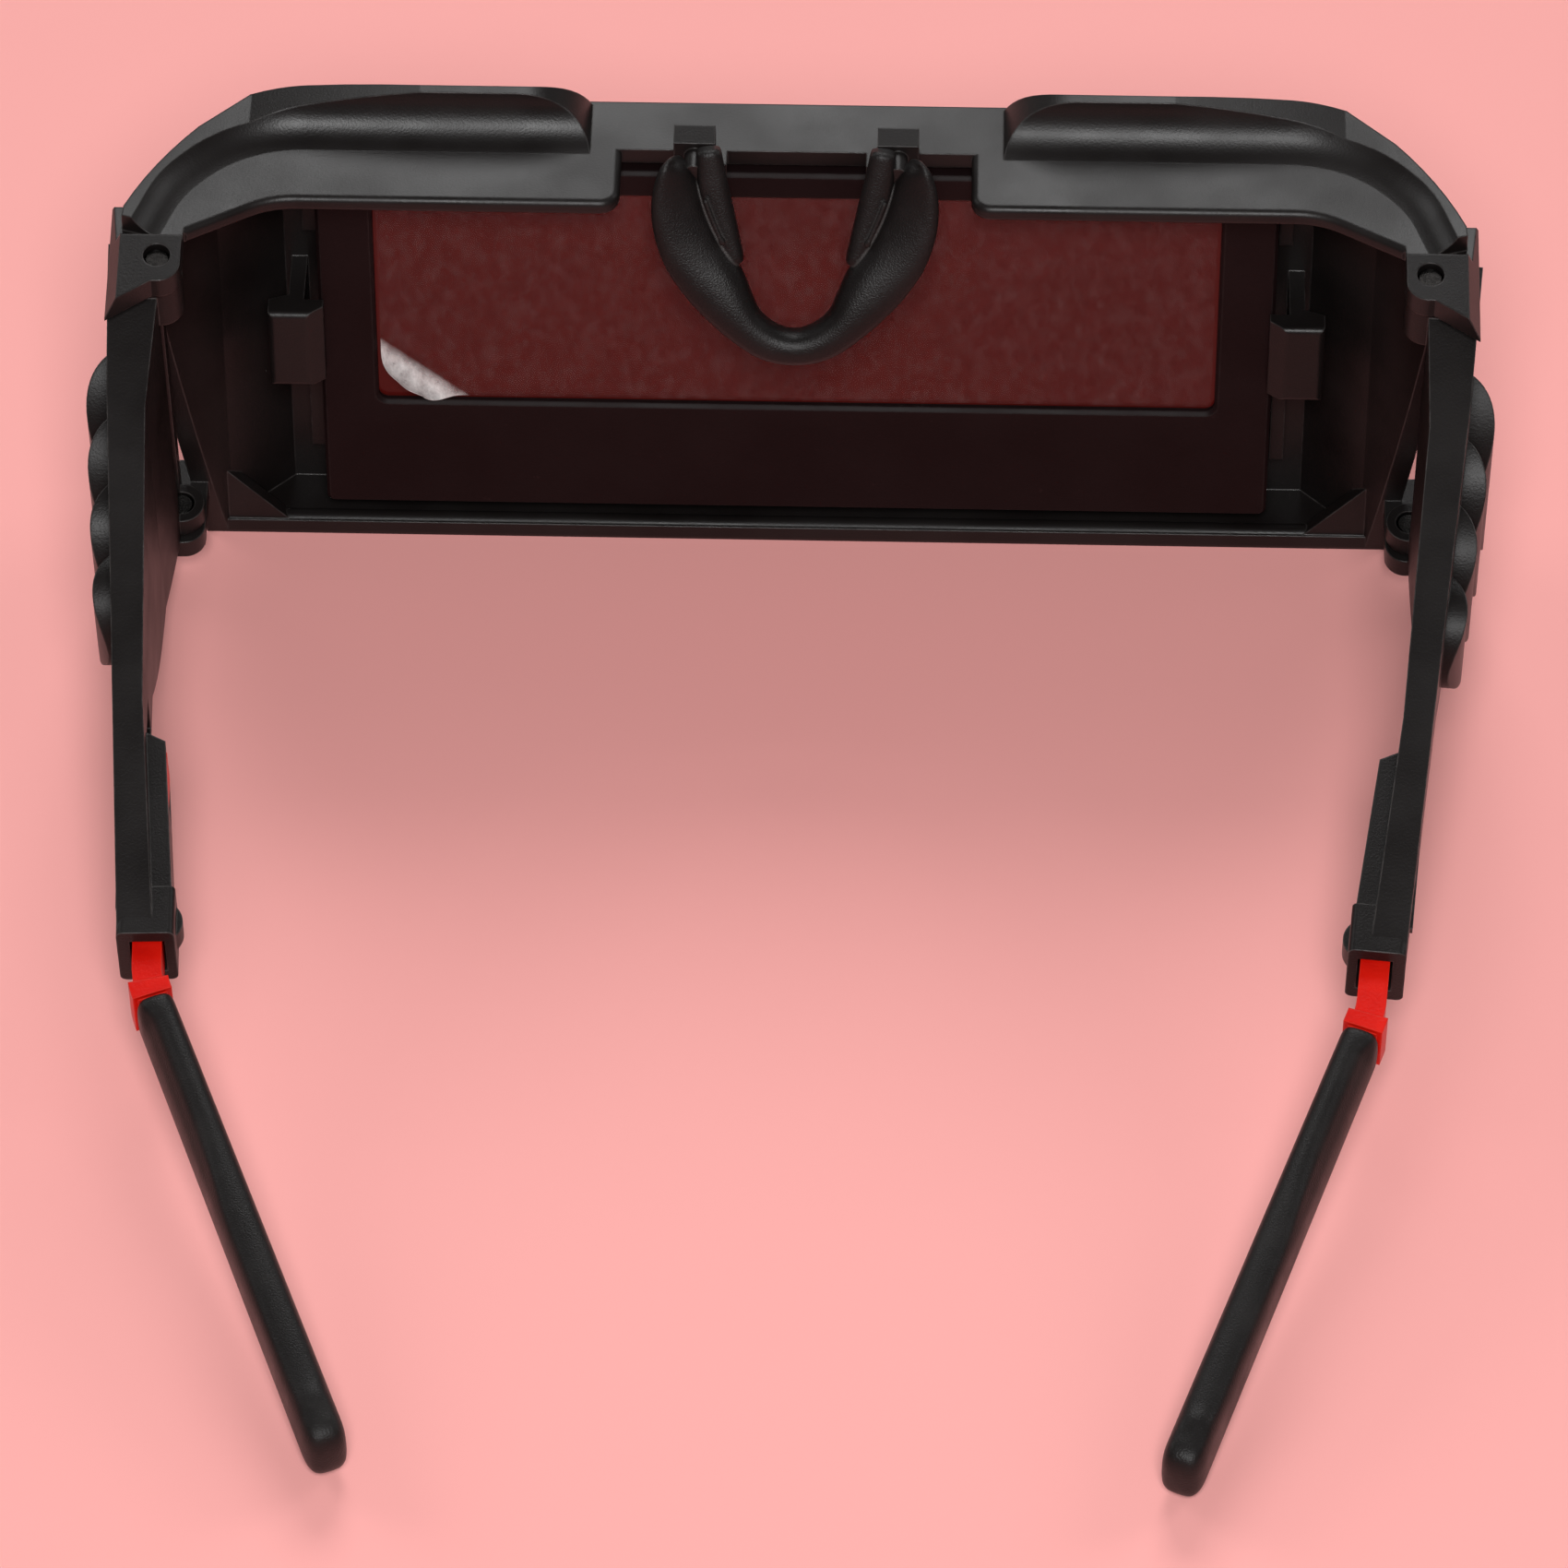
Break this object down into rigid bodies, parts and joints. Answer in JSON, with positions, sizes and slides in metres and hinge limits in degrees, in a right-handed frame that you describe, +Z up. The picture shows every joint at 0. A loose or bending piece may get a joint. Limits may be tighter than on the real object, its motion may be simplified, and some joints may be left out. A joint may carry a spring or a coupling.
{
  "type": "welding goggles",
  "caption": "Auto-darkening welding goggles with a wide filter cartridge, a soft nose piece, folding louvred temples and sliding stems with rubber ear sleeves.",
  "frame": {"origin": "middle of the brow wall's flat outer face, on which the goggles lie upside down", "axes": "+X to the wearer's left, +Y forward the way the wearer looks, +Z up as it lies, towards the wearer's cheeks"},
  "size_m": [0.156, 0.157, 0.0652],
  "materials": {
    "frame_plastic": "satin moulded",
    "temple_plastic": "satin moulded",
    "cover_plastic": "clear polished",
    "filter_case": "fine matte",
    "polariser": "polished, tinted",
    "cell_glass": "polished",
    "filter_glass": "mirror coated",
    "clear_film": "clear, peeled at one corner",
    "circuit_board": "solder mask",
    "battery_steel": "bright",
    "solar_cell": "glossy with fine lines",
    "sensor_lens": "polished",
    "nose_rubber": "soft satin",
    "pin_steel": "plain",
    "stem_plastic": "satin",
    "sleeve_rubber": "soft satin"
  },
  "bodies": {
    "front": {"front_frame": "frame_plastic", "front_cover_plate": "cover_plastic", "filter_rear_case": "filter_case", "filter_front_case": "filter_case", "rear_polariser": "polariser", "rear_liquid_crystal_cell": "cell_glass", "middle_polariser": "polariser", "front_liquid_crystal_cell": "cell_glass", "front_polariser": "polariser", "uv_ir_filter_glass": "filter_glass", "inner_film": "clear_film", "circuit_board": "circuit_board", "battery": "battery_steel", "solar_cell_left": "solar_cell", "solar_cell_right": "solar_cell", "arc_sensor_left": "sensor_lens", "arc_sensor_right": "sensor_lens", "nose_piece": "nose_rubber", "upper_hinge_pin_left": "pin_steel", "lower_hinge_pin_left": "pin_steel", "upper_hinge_pin_right": "pin_steel", "lower_hinge_pin_right": "pin_steel"},
    "left_temple": {"temple_left": "temple_plastic"},
    "right_temple": {"temple_right": "temple_plastic"},
    "left_stem": {"stem_left": "stem_plastic", "ear_sleeve_left": "sleeve_rubber"},
    "right_stem": {"stem_right": "stem_plastic", "ear_sleeve_right": "sleeve_rubber"}
  },
  "joints": [
    {"name": "left_temple_hinge", "type": "hinge", "parent": "front", "child": "left_temple", "pos_m": [0.07, -0.0161, 0.03], "axis": [0, 0.2079, -0.9781], "range_deg": [0, 80]},
    {"name": "left_stem_slide", "type": "slide", "parent": "left_temple", "child": "left_stem", "axis": [-0.0872, -0.9744, -0.2071], "range_m": [-0.006, 0]},
    {"name": "right_temple_hinge", "type": "hinge", "parent": "front", "child": "right_temple", "pos_m": [-0.07, -0.0161, 0.03], "axis": [0, -0.2079, 0.9781], "range_deg": [0, 72]},
    {"name": "right_stem_slide", "type": "slide", "parent": "right_temple", "child": "right_stem", "axis": [0.0349, -0.9776, -0.2078], "range_m": [-0.004, 0.002]}
  ]
}
